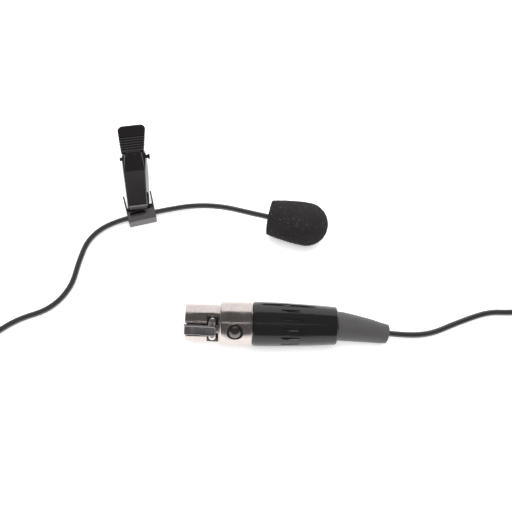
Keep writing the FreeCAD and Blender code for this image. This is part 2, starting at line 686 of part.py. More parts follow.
def plug_boot(tail):
    """Rubber boot: flange held in the sleeve, then a taper that droops to the surface."""
    frame = plug_frame()
    lip_x = SLEEVE_END_X - 0.25
    neck_r = BOOT_RADII[0] + 0.05
    held = placed(lathe([
        (BOOT_FLANGE_X, 0), (BOOT_FLANGE_X, BOOT_FLANGE_R), (lip_x, BOOT_FLANGE_R), (lip_x, neck_r),
        (SLEEVE_END_X + 0.1, neck_r), (SLEEVE_END_X + 0.1, 0)]), frame)
    start = frame.multVec(Vector(SLEEVE_END_X, 0, 0))
    knee = frame.multVec(Vector(SLEEVE_END_X + BOOT_KNEE, 0, 0))
    wires = []
    last = len(BOOT_RADII) - 1
    for index, radius in enumerate(BOOT_RADII):
        t = index / last
        centre = start * (1 - t) ** 2 + knee * (2 * t * (1 - t)) + BOOT_END * t ** 2
        along = (knee - start) * (1 - t) + (BOOT_END - knee) * t
        wires.append(Part.Wire(Part.Circle(centre, along, radius).toShape()))
    taper = Part.makeLoft(wires, True)
    return held.fuse(taper).cut(tail)


def cord_clamp():
    """Crimped metal clamp that grips the cord inside the sleeve."""
    return lathe([(25.0, CORD_R), (25.0, 1.5), (26.5, 1.9), (33.5, 1.9), (33.5, CORD_R)])


def insulating_tube():
    return lathe([(15.2, 3.6), (15.2, 3.85), (24.5, 3.85), (24.5, 3.6)])


def plug_leads():
    """Three wires from the solder cups to the cord's end."""
    wires = []
    for angle in contact_angles():
        side = Vector(0, math.cos(math.radians(angle)), math.sin(math.radians(angle)))
        start = Vector(CONTACT_END_X, 0, 0) + side * CONTACT_CIRCLE_R
        end = Vector(24.9, 0, 0) + side * 0.4
        wires.append(Part.makeCylinder(0.25, (end - start).Length, start, end - start))
    return Part.makeCompound(wires)


def plug_parts(tail):
    frame = plug_frame()
    local = {
        "plug_shell": plug_shell(),
        "plug_insert": plug_insert(),
        "latch_leaf": latch_leaf(),
        "latch_button": latch_button(),
        "plug_sleeve": plug_sleeve(),
        "cord_clamp": cord_clamp(),
        "insulating_tube": insulating_tube(),
        "plug_leads": plug_leads(),
    }
    for index, angle in enumerate(contact_angles(), 1):
        local[f"contact_{index}"] = contact(angle)
    parts = {name: placed(shape, frame) for name, shape in local.items()}
    parts["plug_boot"] = plug_boot(tail)
    return parts


# ---- assembly -----------------------------------------------------------------------------
def main():
    os.makedirs("parts", exist_ok=True)
    head_frame = frame_at(HEAD_REAR, HEAD_HEADING)
    head = {name: placed(shape, head_frame) for name, shape in head_parts().items()}
    clip = clip_parts()
    tail = cord_tube("cord_tail", TAIL_ROUTE)
    cord = {
        "cord_run": cord_tube("cord_run", RUN_ROUTE),
        "cord_tail": tail,
        "cord_coil": cord_coil(),
        "coil_tie": coil_tie(),
    }
    plug = plug_parts(tail)
    for name, shape in {**head, **clip, **cord, **plug}.items():
        solids = len(shape.Solids)
        if not shape.isValid() or not solids:
            print(f"{name}: valid {shape.isValid()}, solids {solids}")
        shape.exportStep(f"parts/{name}.step")
    box = FreeCAD.BoundBox()
    for shape in {**head, **clip}.values():
        box.add(shape.BoundBox)
    print("clip and head:", box)


main()
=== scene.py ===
import json
import math

import bmesh
import bpy
from mathutils import Matrix, Vector, noise


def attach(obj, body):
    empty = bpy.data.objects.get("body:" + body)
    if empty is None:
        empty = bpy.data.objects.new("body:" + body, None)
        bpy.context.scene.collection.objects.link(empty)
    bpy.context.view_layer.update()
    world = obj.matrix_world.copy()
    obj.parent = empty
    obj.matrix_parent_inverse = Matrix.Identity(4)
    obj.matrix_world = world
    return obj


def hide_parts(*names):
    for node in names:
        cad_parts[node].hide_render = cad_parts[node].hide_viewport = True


# Lavalier microphone: a capsule under a foam windscreen, a sprung clip with a swivelling cord
# holder, and a miniature three-pole plug, all on one cord that lies on the floor.
# Everything is in metres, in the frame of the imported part.

MM = 0.001

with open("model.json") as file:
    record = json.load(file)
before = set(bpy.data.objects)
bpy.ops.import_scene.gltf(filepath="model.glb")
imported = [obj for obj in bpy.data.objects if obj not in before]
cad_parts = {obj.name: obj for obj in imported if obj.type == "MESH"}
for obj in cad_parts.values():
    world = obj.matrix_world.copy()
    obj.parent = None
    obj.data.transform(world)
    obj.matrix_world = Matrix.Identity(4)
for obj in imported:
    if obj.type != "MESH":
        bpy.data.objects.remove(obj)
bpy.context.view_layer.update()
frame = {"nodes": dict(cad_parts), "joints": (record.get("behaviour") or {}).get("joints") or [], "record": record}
nodes = frame["nodes"]
joints = {joint["name"]: joint for joint in frame["joints"]}
mounts = {mount["name"]: mount for mount in frame["record"]["mounts"]}


# ---- camera, light and floor --------------------------------------------------------------
CAMERA_TARGET = Vector((0.0100, -0.01945, 0.0))
CAMERA_DISTANCE = 0.214
CAMERA_ELEVATION = math.radians(60.0)
CAMERA_LENS = 56.25


def aim(thing, target):
    thing.rotation_euler = (target - thing.location).to_track_quat("-Z", "Y").to_euler()


def add_camera():
    data = bpy.data.cameras.new("camera")
    data.lens = CAMERA_LENS
    data.clip_start = 0.005
    camera = bpy.data.objects.new("camera", data)
    bpy.context.scene.collection.objects.link(camera)
    back = Vector((0, -math.cos(CAMERA_ELEVATION), math.sin(CAMERA_ELEVATION)))
    camera.location = CAMERA_TARGET + back * CAMERA_DISTANCE
    aim(camera, CAMERA_TARGET)
    bpy.context.scene.camera = camera


def add_softbox(name, place, size, power, in_gloss):
    """Rectangular area light aimed at the middle of the object."""
    data = bpy.data.lights.new(name, "AREA")
    data.shape = "RECTANGLE"
    data.size, data.size_y = size
    data.energy = power
    lamp = bpy.data.objects.new(name, data)
    bpy.context.scene.collection.objects.link(lamp)
    lamp.location = place
    lamp.visible_glossy = in_gloss
    aim(lamp, CAMERA_TARGET)


# height from 0 at the horizon and below to 1 overhead, and the brightness there
SKY_STOPS = ((0.0, 0.8), (0.03, 0.7), (0.08, 0.14), (1.0, 0.12))
FLOOR_SIZE = 3.0
FLOOR_GLOW = 0.5


def add_world():
    """Studio surroundings: pale round the horizon, dim above."""
    world = bpy.data.worlds.new("studio")
    world.use_nodes = True
    bpy.context.scene.world = world
    tree = world.node_tree
    background = tree.nodes["Background"]
    where = tree.nodes.new("ShaderNodeTexCoord")
    split = tree.nodes.new("ShaderNodeSeparateXYZ")
    ramp = tree.nodes.new("ShaderNodeValToRGB")
    while len(ramp.color_ramp.elements) < len(SKY_STOPS):
        ramp.color_ramp.elements.new(0.5)
    for element, (height, level) in zip(ramp.color_ramp.elements, SKY_STOPS):
        element.position = height
        element.color = (level, level, level, 1)
    tree.links.new(where.outputs["Generated"], split.inputs[0])
    tree.links.new(split.outputs["Z"], ramp.inputs[0])
    tree.links.new(ramp.outputs["Color"], background.inputs["Color"])
    background.inputs["Strength"].default_value = 1.0


def add_floor():
    bm = bmesh.new()
    bmesh.ops.create_grid(bm, x_segments=8, y_segments=8, size=FLOOR_SIZE)
    mesh = mesh_from(bm, "floor")
    floor = bpy.data.objects.new("floor", mesh)
    bpy.context.scene.collection.objects.link(floor)
    paper = material("floor_paper", (0.93, 0.93, 0.93), rough=0.9, vary=0.01, grain=400.0, bump=0.0)
    glow = paper.node_tree.nodes["Principled BSDF"].inputs
    glow["Emission Color"].default_value = (1.0, 1.0, 1.0, 1.0)
    glow["Emission Strength"].default_value = FLOOR_GLOW
    mesh.materials.append(paper)


def add_lights():
    add_world()
    add_softbox("key", (0.05, -0.05, 0.75), (0.9, 0.9), 7.5, in_gloss=False)
    add_softbox("back_box", (0.0, 0.45, 0.26), (0.8, 0.5), 1.4, in_gloss=True)
    add_softbox("top_strip", (0.0, -0.28, 0.6), (0.4, 0.01), 0.04, in_gloss=True)
    bpy.context.scene.view_settings.view_transform = "Standard"


# ---- materials ----------------------------------------------------------------------------
NOISE_ROUGHNESS = 0.55
BLOTCHES_PER_GRAIN = 12


def shade(colour, factor):
    return tuple(min(1.0, channel * factor) for channel in colour) + (1.0,)


def noise_node(tree, place, scale, detail=4.0):
    node = tree.nodes.new("ShaderNodeTexNoise")
    node.inputs["Scale"].default_value = scale
    node.inputs["Detail"].default_value = detail
    node.inputs["Roughness"].default_value = NOISE_ROUGHNESS
    tree.links.new(place, node.inputs["Vector"])
    return node.outputs["Fac"]


def mapped(tree, value, low, high, from_low=0.3, from_high=0.7):
    node = tree.nodes.new("ShaderNodeMapRange")
    node.inputs["From Min"].default_value = from_low
    node.inputs["From Max"].default_value = from_high
    node.inputs["To Min"].default_value = low
    node.inputs["To Max"].default_value = high
    tree.links.new(value, node.inputs["Value"])
    return node.outputs["Result"]


def mixed(tree, factor, first, second):
    """Colour mix; first and second are colours or sockets."""
    node = tree.nodes.new("ShaderNodeMix")
    node.data_type = "RGBA"
    tree.links.new(factor, node.inputs["Factor"])
    for socket, value in (("A", first), ("B", second)):
        target = [i for i in node.inputs if i.name == socket and i.type == "RGBA"][0]
        if isinstance(value, tuple):
            target.default_value = value
        else:
            tree.links.new(value, target)
    return [o for o in node.outputs if o.type == "RGBA"][0]


def bumped(tree, height, distance, below=None):
    node = tree.nodes.new("ShaderNodeBump")
    node.inputs["Distance"].default_value = distance
    node.inputs["Strength"].default_value = 1.0
    tree.links.new(height, node.inputs["Height"])
    if below is not None:
        tree.links.new(below, node.inputs["Normal"])
    return node.outputs["Normal"]


def material(name, colour, rough, vary, metal=0.0, grain=2500.0, rough_vary=0.06, bump=0.00001,
             specular=0.5, coat=0.0, coat_rough=0.1, sheen=0.0, stretch=None, wear=0.0):
    """Procedural finish: fine grain and broad blotches in colour, roughness and height.
    stretch = (local frame, factors) draws the grain out along one direction.
    wear lightens raised edges."""
    mat = bpy.data.materials.new(name)
    mat.use_nodes = True
    tree = mat.node_tree
    shader = tree.nodes["Principled BSDF"]
    shader.inputs["Metallic"].default_value = metal
    shader.inputs["Specular IOR Level"].default_value = specular
    shader.inputs["Coat Weight"].default_value = coat
    shader.inputs["Coat Roughness"].default_value = coat_rough
    shader.inputs["Sheen Weight"].default_value = sheen
    place = tree.nodes.new("ShaderNodeTexCoord").outputs["Object"]
    drawn = place
    if stretch is not None:
        local, factors = stretch
        turn = tree.nodes.new("ShaderNodeMapping")
        turn.inputs["Rotation"].default_value = local.to_3x3().inverted().to_euler()
        size = tree.nodes.new("ShaderNodeMapping")
        size.inputs["Scale"].default_value = factors
        tree.links.new(place, turn.inputs["Vector"])
        tree.links.new(turn.outputs["Vector"], size.inputs["Vector"])
        drawn = size.outputs["Vector"]
    fine = noise_node(tree, drawn, grain)
    broad = noise_node(tree, place, grain / BLOTCHES_PER_GRAIN, detail=3.0)
    blend = tree.nodes.new("ShaderNodeMath")
    blend.operation = "MULTIPLY_ADD"
    blend.inputs[1].default_value = 0.5
    tree.links.new(fine, blend.inputs[0])
    half = tree.nodes.new("ShaderNodeMath")
    half.operation = "MULTIPLY"
    half.inputs[1].default_value = 0.5
    tree.links.new(broad, half.inputs[0])
    tree.links.new(half.outputs[0], blend.inputs[2])
    spread = mapped(tree, blend.outputs[0], 0.0, 1.0)
    tint = mixed(tree, spread, shade(colour, 1 - vary), shade(colour, 1 + vary))
    if wear:
        raised = tree.nodes.new("ShaderNodeNewGeometry").outputs["Pointiness"]
        edge = mapped(tree, raised, 0.0, wear, 0.52, 0.62)
        tint = mixed(tree, edge, tint, shade(tuple(0.25 + 0.6 * c for c in colour), 1.0))
    tree.links.new(tint, shader.inputs["Base Color"])
    low, high = max(0.02, rough - rough_vary), min(1.0, rough + rough_vary)
    tree.links.new(mapped(tree, broad, low, high), shader.inputs["Roughness"])
    if bump:
        tree.links.new(bumped(tree, fine, bump), shader.inputs["Normal"])
    return mat


def foam_material():
    """Open-cell foam: matte struts, with painted shade darkening the pores."""
    mat = material("foam", (0.033, 0.03, 0.031), rough=0.95, vary=0.3, grain=3800.0, bump=0.0,
                   specular=0.2)
    tree = mat.node_tree
    shader = tree.nodes["Principled BSDF"]
    place = [n for n in tree.nodes if n.type == "TEX_COORD"][0].outputs["Object"]
    cells = tree.nodes.new("ShaderNodeTexVoronoi")
    cells.inputs["Scale"].default_value = 3400.0
    tree.links.new(place, cells.inputs["Vector"])
    old = shader.inputs["Base Color"].links[0].from_socket
    # painted shade: the colour darkens towards the middle of each pore
    pore = mapped(tree, cells.outputs["Distance"], 0.55, 0.0, 0.0, 0.5)
    struts = mixed(tree, pore, old, (0.012, 0.012, 0.012, 1))
    flecks = mapped(tree, noise_node(tree, place, 1500.0, detail=2.0), 0.0, 1.0, 0.62, 0.72)
    tree.links.new(mixed(tree, flecks, struts, (0.085, 0.078, 0.08, 1)), shader.inputs["Base Color"])
    fine = noise_node(tree, place, 9000.0, detail=3.0)
    height = bumped(tree, cells.outputs["Distance"], 0.00012)
    tree.links.new(bumped(tree, fine, 0.00005, height), shader.inputs["Normal"])
    return mat


def fabric_material():
    """Hook-and-loop tape: short loops over a woven back."""
    mat = material("tie_fabric", (0.03, 0.03, 0.032), rough=0.9, vary=0.35, grain=5000.0, bump=0.0,
                   specular=0.25, sheen=0.3)
    tree = mat.node_tree
    shader = tree.nodes["Principled BSDF"]
    place = [n for n in tree.nodes if n.type == "TEX_COORD"][0].outputs["Object"]
    loops = tree.nodes.new("ShaderNodeTexVoronoi")
    loops.inputs["Scale"].default_value = 3000.0
    tree.links.new(place, loops.inputs["Vector"])
    fuzz = noise_node(tree, place, 7000.0, detail=4.0)
    height = bumped(tree, loops.outputs["Distance"], 0.00012)
    tree.links.new(bumped(tree, fuzz, 0.00006, height), shader.inputs["Normal"])
    return mat


# ---- local frames of the groups -----------------------------------------------------------
def local_frame(origin, along, across):
    """Frame with +X along and +Y across, made square."""
    x = Vector(along).normalized()
    z = x.cross(Vector(across)).normalized()
    y = z.cross(x)
    turned = Matrix((x, y, z)).transposed().to_4x4()
    return Matrix.Translation(Vector(origin)) @ turned


def local_box(node, local):
    """Lowest and highest corner of a CAD node in a local frame."""
    inverse = local.inverted()
    points = [inverse @ v.co for v in nodes[node].data.vertices]
    low = Vector([min(p[i] for p in points) for i in range(3)])
    high = Vector([max(p[i] for p in points) for i in range(3)])
    return low, high


def head_frame():
    """+X from the foam's rear face to its nose, on the capsule's axis."""
    along = Vector(joints["windscreen_pull"]["axis"])
    loose = local_frame((0, 0, 0), along, Vector((0, 0, 1)).cross(along))
    low, high = local_box("windscreen_foam", loose)
    return loose @ Matrix.Translation((low.x, (low.y + high.y) / 2, (low.z + high.z) / 2))


PIN_X = 0.0165
PIN_Z = 0.0026
NOSE_MOUNT_X = 0.0033


def clip_frame():
    """+X from the jaw's tip to the thumb pad, z = 0 where the closed jaws meet."""
    joint = joints["clip_open"]
    at_pin = local_frame(joint["pos_m"], -Vector(mounts["jaw_grip"]["axis"]), joint["axis"])
    return at_pin @ Matrix.Translation((-PIN_X, 0, -PIN_Z))


def plug_frame():
    """+X from the nose to the boot, +Z towards the latch button, origin at the latch's front."""
    along = -Vector(mounts["plug_nose"]["axis"])
    at_mount = local_frame(mounts["plug_nose"]["pos_m"], along, joints["latch_press"]["axis"])
    return at_mount @ Matrix.Translation((-NOSE_MOUNT_X, 0, 0))


HEAD = head_frame()
CLIP = clip_frame()
PLUG = plug_frame()


# ---- mesh tools ---------------------------------------------------------------------------
WELD_DISTANCE = 0.002 * MM
FLAT_ANGLE = math.radians(0.4)
BEVEL_ANGLE = math.radians(32.0)
FLAT_FACE_WEIGHT = 90


def link(name, mesh, mat, body, replaced=()):
    """Object for a mesh, with its finish, the body it rides on and the nodes it stands for."""
    piece = bpy.data.objects.new(name, mesh)
    bpy.context.scene.collection.objects.link(piece)
    piece.data.materials.append(mat)
    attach(piece, body)
    if replaced:
        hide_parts(*replaced)
    return piece


def smooth(mesh, angle):
    """Smooth shading with edges sharper than angle, in degrees, kept sharp."""
    mesh.shade_smooth()
    mesh.set_sharp_from_angle(angle=math.radians(angle))


def mesh_from(bm, name):
    """Mesh of a finished bmesh."""
    mesh = bpy.data.meshes.new(name)
    bm.to_mesh(mesh)
    bm.free()
    return mesh


def skin_rings(bm, rings):
    """Joins closed rings of vertices by quads, and returns the faces of each band."""
    bands = []
    for a, b in zip(rings, rings[1:]):
        band = []
        for i in range(len(a)):
            j = (i + 1) % len(a)
            band.append(bm.faces.new((a[i], a[j], b[j], b[i])))
        bands.append(band)
    return bands


def skin_capped(bm, rings):
    """Closed body through rings of vertices, with both ends capped."""
    bands = skin_rings(bm, rings)
    bm.faces.new(rings[0])
    bm.faces.new(rings[-1])
    return bands


def apply_modifiers(piece):
    """Bakes the modifiers of a piece into its mesh."""
    depsgraph = bpy.context.evaluated_depsgraph_get()
    baked = bpy.data.meshes.new_from_object(piece.evaluated_get(depsgraph))
    piece.modifiers.clear()
    piece.data = baked


def cad_copy(node):
    """Welded copy of a CAD node's mesh, with its flat faces whole."""
    bm = bmesh.new()
    bm.from_mesh(nodes[node].data)
    bmesh.ops.remove_doubles(bm, verts=bm.verts, dist=WELD_DISTANCE)
    bmesh.ops.dissolve_limit(bm, angle_limit=FLAT_ANGLE, verts=bm.verts, edges=bm.edges)
    return mesh_from(bm, node + "_piece")


def rounded(node, mat, body, width, segments=3):
    """A CAD part with its sharp edges rounded by width and its flat faces flat to the eye."""
    piece = link(node + "_rounded", cad_copy(node), mat, body, [node])
    bevel = piece.modifiers.new("edges", "BEVEL")
    bevel.width = width
    bevel.segments = segments
    bevel.limit_method = "ANGLE"
    bevel.angle_limit = BEVEL_ANGLE
    bevel.use_clamp_overlap = False
    apply_modifiers(piece)
    smooth(piece.data, 50.0)
    weigh = piece.modifiers.new("normals", "WEIGHTED_NORMAL")
    weigh.keep_sharp = True
    weigh.weight = FLAT_FACE_WEIGHT
    apply_modifiers(piece)
    return piece


def lathe_mesh(name, outline, local, segments):
    """Turned surface about local +X through (x, radius) points."""
    bm = bmesh.new()
    rings = []
    for x, r in outline:
        if r < 1e-7:
            rings.append([bm.verts.new(local @ Vector((x, 0, 0)))])
            continue
        ring = []
        for i in range(segments):
            a = 2 * math.pi * i / segments
            ring.append(bm.verts.new(local @ Vector((x, r * math.cos(a), r * math.sin(a)))))
        rings.append(ring)
    for a, b in zip(rings, rings[1:]):
        for i in range(segments):
            j = (i + 1) % segments
            if len(a) == 1:
                bm.faces.new((a[0], b[j], b[i]))
            elif len(b) == 1:
                bm.faces.new((a[i], a[j], b[0]))
            else:
                bm.faces.new((a[i], a[j], b[j], b[i]))
    bmesh.ops.recalc_face_normals(bm, faces=bm.faces)
    return mesh_from(bm, name)


# ---- cord ---------------------------------------------------------------------------------
CORD_D = 0.0015
COIL_CENTRE = Vector((0.0886, -0.04835, 0.0))
COIL_MID_R = 0.0086
COIL_SPREAD = 0.00265
COIL_LOW_Z = 0.00105
LAYERS = 4
LAYER_TURNS = 3.4375
LAYER_STEP = 0.00163
RISE_TURNS = 0.5
POINTS_PER_TURN = 16
COIL_OVAL = 0.012
COIL_OVAL_ANGLE = 0.6

# from the capsule through the clip's holder and round the outside to the coil
RUN_ROUTE = (
    (0.0161, -0.01146, 0.0058),
    (0.0088, -0.00955, 0.00575),
    (0.0010, -0.0060, 0.0037),
    (-0.0066, -0.00455, 0.0021),
    (-0.0141, -0.0055, 0.00152),
    (-0.0285, -0.00923, 0.00148),
    (-0.0350, -0.01395, 0.0008),
    (-0.0370, -0.02145, 0.00075),
    (-0.0380, -0.02925, 0.00075),
    (-0.0428, -0.03575, 0.00075),
    (-0.0512, -0.03855, 0.00075),
    (-0.0583, -0.04445, 0.00075),
    (-0.0616, -0.05545, 0.00075),
    (-0.0606, -0.06925, 0.00075),
    (-0.0556, -0.08215, 0.00075),
    (-0.0438, -0.09045, 0.00075),
    (-0.0240, -0.09245, 0.00075),
    (0.0040, -0.09115, 0.00075),
    (0.0320, -0.09225, 0.00075),
    (0.0578, -0.09165, 0.00075),
    (0.0770, -0.08565, 0.00075),
    (0.0900, -0.07505, 0.00075),
    (0.0970, -0.06325, 0.00075),
    (0.0996, -0.0539, 0.00085),
)

# from the coil's top turn down to the floor and into the plug
TAIL_ROUTE = (
    (0.0850, -0.03705, 0.0057),
    (0.0811, -0.0369, 0.0040),
    (0.0779, -0.0368, 0.0016),
    (0.0742, -0.0366, 0.00075),
    (0.0692, -0.03645, 0.00075),
    (0.0608, -0.03960, 0.00075),
    (0.0530, -0.04310, 0.0008),
    (0.04275, -0.04335, 0.00248),
    (0.0322, -0.0423, 0.00445),
    (0.0194, -0.0421, 0.0051),
)


def coil_points():
    """Turns of the coil: layers wound inwards and outwards in turn, each lying on the last."""
    spline_pull = math.cos(math.pi / POINTS_PER_TURN)
    per_layer = LAYER_TURNS + RISE_TURNS
    turns = LAYERS * LAYER_TURNS + (LAYERS - 1) * RISE_TURNS
    points = []
    for step in range(round(turns * POINTS_PER_TURN) + 1):
        turn = step / POINTS_PER_TURN
        layer = min(int(turn / per_layer), LAYERS - 1)
        within = turn - layer * per_layer
        across = min(within / LAYER_TURNS, 1.0)
        lift = max(0.0, within / RISE_TURNS - LAYER_TURNS / RISE_TURNS)
        side = 1 - 2 * across
        if layer % 2:
            side = -side
        angle = 2 * math.pi * turn
        oval = 1 + COIL_OVAL * math.cos(2 * angle + COIL_OVAL_ANGLE)
        r = (COIL_MID_R + side * COIL_SPREAD) * oval / spline_pull
        lift = lift * lift * (3 - 2 * lift)
        z = COIL_LOW_Z + (layer + lift) * LAYER_STEP
        points.append(COIL_CENTRE + Vector((r * math.cos(angle), r * math.sin(angle), z)))
    return points


def cord_piece(mat):
    """The whole cord as one smooth line of its real length, from the capsule to the plug."""
    route = [Vector(p) for p in RUN_ROUTE] + coil_points() + [Vector(p) for p in TAIL_ROUTE]
    data = bpy.data.curves.new("cord", "CURVE")
    data.dimensions = "3D"
    spline = data.splines.new("NURBS")
    spline.points.add(len(route) - 1)
    for point, place in zip(spline.points, route):
        point.co = (*place, 1.0)
    spline.order_u = 3
    spline.use_endpoint_u = True
    spline.resolution_u = 6
    data.bevel_depth = CORD_D / 2
    data.bevel_resolution = 5
    data.use_fill_caps = True
    data.materials.append(mat)
    piece = bpy.data.objects.new("cord", data)
    bpy.context.scene.collection.objects.link(piece)
    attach(piece, "microphone")
    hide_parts("cord_run", "cord_coil", "cord_tail")
    return piece


TIE_T = 0.00026
TIE_WIDTH = 0.005
TIE_ANGLE = math.radians(-110)
TIE_CORNER = 0.0015
TIE_GAP = 0.00006
TIE_WAVE = 0.00003
TIE_CORNER_STEPS = 8
TIE_LAP_ROWS = 5
TIE_COLUMNS = 14


def tie_piece(mat):
    """Hook-and-loop band, once round the coil's bundle and lapped over itself on top."""
    out = Vector((math.cos(TIE_ANGLE), math.sin(TIE_ANGLE), 0))
    along = Vector((-out.y, out.x, 0))
    half_r = COIL_SPREAD + CORD_D / 2 + TIE_GAP
    low = COIL_LOW_Z - CORD_D / 2 - TIE_GAP
    high = COIL_LOW_Z + (LAYERS - 1) * LAYER_STEP + CORD_D / 2 + TIE_GAP
    centre = Vector((COIL_MID_R, (low + high) / 2))
    half_z = (high - low) / 2
    corners = ((1, 1), (-1, 1), (-1, -1), (1, -1))
    loop = []
    for index, (sx, sz) in enumerate(corners):
        middle = Vector((centre.x + sx * (half_r - TIE_CORNER), centre.y + sz * (half_z - TIE_CORNER)))
        for step in range(TIE_CORNER_STEPS + 1):
            a = math.radians(90 * index + 90 * step / TIE_CORNER_STEPS)
            loop.append((middle, Vector((math.cos(a), math.sin(a)))))
    start = TIE_CORNER_STEPS // 2
    path = loop[start:] + loop[:start] + loop[start:start + TIE_CORNER_STEPS + 1]
    first_lap = len(loop)
    bm = bmesh.new()
    rows = []
    for index, (middle, normal) in enumerate(path):
        lap = TIE_T * 1.05 * min(1.0, max(0.0, (index - first_lap + TIE_LAP_ROWS) / TIE_LAP_ROWS))
        spot = middle + normal * (TIE_CORNER + TIE_T / 2 + lap)
        row = []
        for column in range(TIE_COLUMNS + 1):
            w = column / TIE_COLUMNS - 0.5
            wave = TIE_WAVE * math.sin(9 * w + index)
            place = COIL_CENTRE + out * (spot.x + normal.x * wave) + along * (w * TIE_WIDTH)
            place.z = spot.y + normal.y * wave
            row.append(bm.verts.new(place))
        rows.append(row)
    for a, b in zip(rows, rows[1:]):
        for i in range(TIE_COLUMNS):
            bm.faces.new((a[i], a[i + 1], b[i + 1], b[i]))
    bmesh.ops.recalc_face_normals(bm, faces=bm.faces)
    mesh = mesh_from(bm, "coil_tie_band")
    piece = link("coil_tie_band", mesh, mat, "microphone", ["coil_tie"])
    thick = piece.modifiers.new("thick", "SOLIDIFY")
    thick.thickness = TIE_T
    thick.offset = 0
    soften = piece.modifiers.new("soften", "SUBSURF")
    soften.levels = soften.render_levels = 1
    smooth(mesh, 60)
    apply_modifiers(piece)
    return piece


# ---- head ---------------------------------------------------------------------------------
FOAM_REAR_R = 0.0043
FOAM_BORE_R = 0.00305
FOAM_BORE_DEPTH = 0.0121
FOAM_STEP = 0.00011
FOAM_EDGE_R = 0.0002
FOAM_EDGE_GAIN = 0.0003
FOAM_GAIN_LENGTH = 0.005
FOAM_MEAN_R = 0.0056
PORE_SIZE = 0.00042
PORE_DEPTH = 0.00010
PORE_REACH = 0.55
LUMP_SIZE = 2.3 * PORE_SIZE
LUMP_DEPTH = 0.000042
LUMP_LIFT = 0.8


def foam_outline():
    """(x, radius) round the foam: the bore, the rear face, the crowned side and the round nose."""
    low, high = local_box("windscreen_foam", HEAD)
    length = high.x - low.x
    max_r = (high.z - low.z) / 2
    belly_x = length - max_r
    swell = max_r - FOAM_REAR_R
    big_r = (belly_x ** 2 + swell ** 2) / (2 * swell)
    outline = [(FOAM_BORE_DEPTH, 0.0)]
    outline += [(FOAM_BORE_DEPTH, FOAM_BORE_R * i / 6) for i in range(1, 7)]
    bore_steps = 30
    outline += [(FOAM_BORE_DEPTH * (1 - i / bore_steps), FOAM_BORE_R) for i in range(1, bore_steps)]
    face_steps = 10
    rear_r = FOAM_REAR_R + FOAM_EDGE_GAIN
    for i in range(face_steps + 1):
        outline.append((0.0, FOAM_BORE_R + (rear_r - FOAM_EDGE_R - FOAM_BORE_R) * i / face_steps))
    for i in range(1, 5):
        a = math.radians(90 * i / 5)
        outline.append((FOAM_EDGE_R * (1 - math.cos(a)), rear_r - FOAM_EDGE_R * (1 - math.sin(a))))
    steps = round((belly_x - FOAM_EDGE_R) / FOAM_STEP)
    for i in range(steps + 1):
        x = FOAM_EDGE_R + (belly_x - FOAM_EDGE_R) * i / steps
        gain = FOAM_EDGE_GAIN * max(0.0, 1 - x / FOAM_GAIN_LENGTH)
        outline.append((x, max_r - big_r + math.sqrt(big_r ** 2 - (belly_x - x) ** 2) + gain))
    steps = round(max_r * math.pi / 2 / FOAM_STEP)
    for i in range(1, steps + 1):
        a = math.pi / 2 * i / steps
        outline.append((belly_x + max_r * math.sin(a), max_r * math.cos(a) if i < steps else 0.0))
    return outline


def foam_piece(mat):
    """Foam windscreen: a turned body whose skin is pitted with open cells."""
    segments = round(2 * math.pi * FOAM_MEAN_R / FOAM_STEP)
    mesh = lathe_mesh("windscreen_skin", foam_outline(), HEAD, segments)
    inverse = HEAD.inverted()
    for vertex, normal in zip(mesh.vertices, [v.normal.copy() for v in mesh.vertices]):
        local = inverse @ vertex.co
        if math.hypot(local.y, local.z) < FOAM_BORE_R * 1.03 and local.x < FOAM_BORE_DEPTH * 1.001:
            continue
        near = noise.voronoi(vertex.co / PORE_SIZE)[0][0]
        pore = max(0.0, 1 - (near / PORE_REACH) ** 2)
        lump = LUMP_LIFT - noise.noise(vertex.co / LUMP_SIZE)
        vertex.co -= normal * (PORE_DEPTH * pore + LUMP_DEPTH * lump)
    smooth(mesh, 80)
    piece = link("windscreen_skin", mesh, mat, "windscreen", ["windscreen_foam"])
    return piece


# ---- clip ---------------------------------------------------------------------------------
def fillet(corners, radius):
    """Open chain of (a, b) corners with each inner corner rounded."""
    steps = 3
    points = [Vector(corners[0])]
    for before, corner, after in zip(corners, corners[1:], corners[2:]):
        corner = Vector(corner)
        into = (Vector(before) - corner).normalized()
        out = (Vector(after) - corner).normalized()
        for step in range(steps + 1):
            t = step / steps
            points.append(corner + into * radius * (1 - t) ** 2 + out * radius * t ** 2)
    points.append(Vector(corners[-1]))
    return points


def blend_rows(rows, x):
    """Values of the row table at x, in between its rows."""
    for low, high in zip(rows, rows[1:]):
        if x <= high[0]:
            t = (x - low[0]) / (high[0] - low[0])
            return [a + (b - a) * t for a, b in zip(low[1:], high[1:])]
    return rows[-1][1:]


WAIST_X = 11.5
WAIST_TOP = 3.2
SHOULDER_X = 16.6
SHOULDER_TOP = 4.95
CHANNEL_END = 18.6
CHANNEL_EDGE = 0.12
CHANNEL_INSET = 0.08
CHANNEL_CORNER_R = 0.05
# rows of x, then (half width, height) of the foot, the side, the ledge and the top, all in mm
CHANNEL_ROWS = (
    (0.0, 2.85, 0.2, 2.50, 2.2, 2.41, 2.33, 2.3, 2.5),
    (WAIST_X, 3.4, 0.2, 2.84, 2.88, 2.72, 3.02, 2.6, WAIST_TOP),
    (SHOULDER_X, 3.4, 1.05, 3.35, 3.75, 2.36, 4.45, 2.0, SHOULDER_TOP),
    (CHANNEL_END, 2.75, 1.5, 2.7, 3.9, 2.3, 4.45, 2.0, SHOULDER_TOP),
)
# x, then how much further the plate reaches towards +Y, in mm
PLATE_LEAN = ((0.0, 0.28), (WAIST_X, 0.5), (SHOULDER_X, 0.2), (CHANNEL_END, 0.2))
WALL = 0.5
ROOF = 0.8
TOOTH_START = 0.75
TOOTH_PITCH = 0.9
TOOTH_COUNT = 5
TOOTH_HALF = 0.3
TOOTH_DEPTH = 0.35


